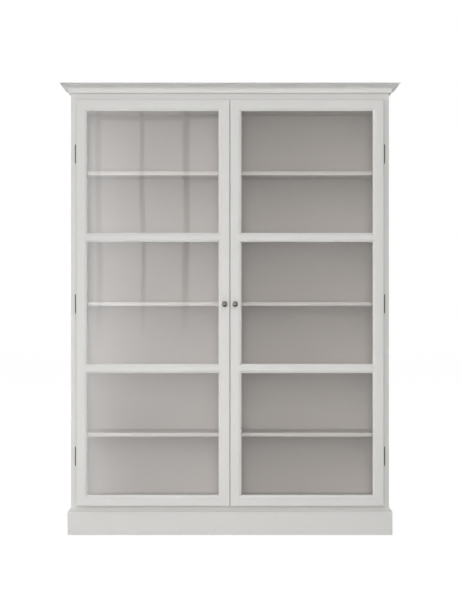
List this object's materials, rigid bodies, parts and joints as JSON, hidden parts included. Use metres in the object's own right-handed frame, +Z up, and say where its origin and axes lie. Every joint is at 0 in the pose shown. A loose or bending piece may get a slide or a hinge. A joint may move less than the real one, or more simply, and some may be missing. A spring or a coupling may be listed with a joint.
{
  "type": "bookcase with glass doors",
  "caption": "Tall painted bookcase with hinged glass doors, each divided into panes by rails, adjustable shelves behind them, a moulded cornice and a plain plinth.",
  "frame": {"origin": "centre of the bounding box's bottom face, on the floor", "axes": "+X to the right as seen from the front, +Y from the doors to the back, +Z up"},
  "size_m": [1.58, 0.43, 2.1],
  "materials": {
    "paint": "satin light warm grey paint on wood",
    "glass": "clear float glass, polished",
    "dark_bronze": "dark bronze, satin",
    "steel": "zinc plated, satin",
    "catch_plastic": "moulded, matt"
  },
  "bodies": {
    "case": {"side_panel_left": "paint", "side_panel_right": "paint", "centre_partition": "paint", "top_board": "paint", "bottom_board": "paint", "cover_board": "paint", "frieze_rail": "paint", "base_rail": "paint", "back_panels": "paint", "cornice_front": "paint", "cornice_left": "paint", "cornice_right": "paint", "plinth_front": "paint", "plinth_left": "paint", "plinth_right": "paint", "rear_stretcher": "paint", "hinge_posts": "paint", "shelf_left_1": "paint", "shelf_left_2": "paint", "shelf_left_3": "paint", "shelf_left_4": "paint", "shelf_left_5": "paint", "shelf_right_1": "paint", "shelf_right_2": "paint", "shelf_right_3": "paint", "shelf_right_4": "paint", "shelf_right_5": "paint", "shelf_pins": "steel", "hinge_leaves_case": "dark_bronze", "hinge_pins": "dark_bronze", "hinge_screws_case": "dark_bronze", "case_screws": "steel", "wall_brackets": "steel", "catch_magnets": "catch_plastic"},
    "door_left": {"door_left_stile_hinge": "paint", "door_left_stile_meeting": "paint", "door_left_rail_bottom": "paint", "door_left_rail_lower": "paint", "door_left_rail_upper": "paint", "door_left_rail_top": "paint", "door_left_glass_panes": "glass", "door_left_glazing_beads": "paint", "door_left_knob": "dark_bronze", "door_left_knob_screw": "steel", "door_left_hinge_leaves": "dark_bronze", "door_left_hinge_screws": "dark_bronze", "door_left_catch_plates": "steel"},
    "door_right": {"door_right_stile_hinge": "paint", "door_right_stile_meeting": "paint", "door_right_rail_bottom": "paint", "door_right_rail_lower": "paint", "door_right_rail_upper": "paint", "door_right_rail_top": "paint", "door_right_glass_panes": "glass", "door_right_glazing_beads": "paint", "door_right_knob": "dark_bronze", "door_right_knob_screw": "steel", "door_right_hinge_leaves": "dark_bronze", "door_right_hinge_screws": "dark_bronze", "door_right_catch_plates": "steel"}
  },
  "joints": [
    {"name": "door_left", "type": "hinge", "parent": "case", "child": "door_left", "pos_m": [-0.7183, -0.1695, 1.079], "axis": [0, 0, -1], "range_deg": [0, 105]},
    {"name": "door_right", "type": "hinge", "parent": "case", "child": "door_right", "pos_m": [0.7183, -0.1695, 1.079], "axis": [0, 0, 1], "range_deg": [0, 105]}
  ]
}
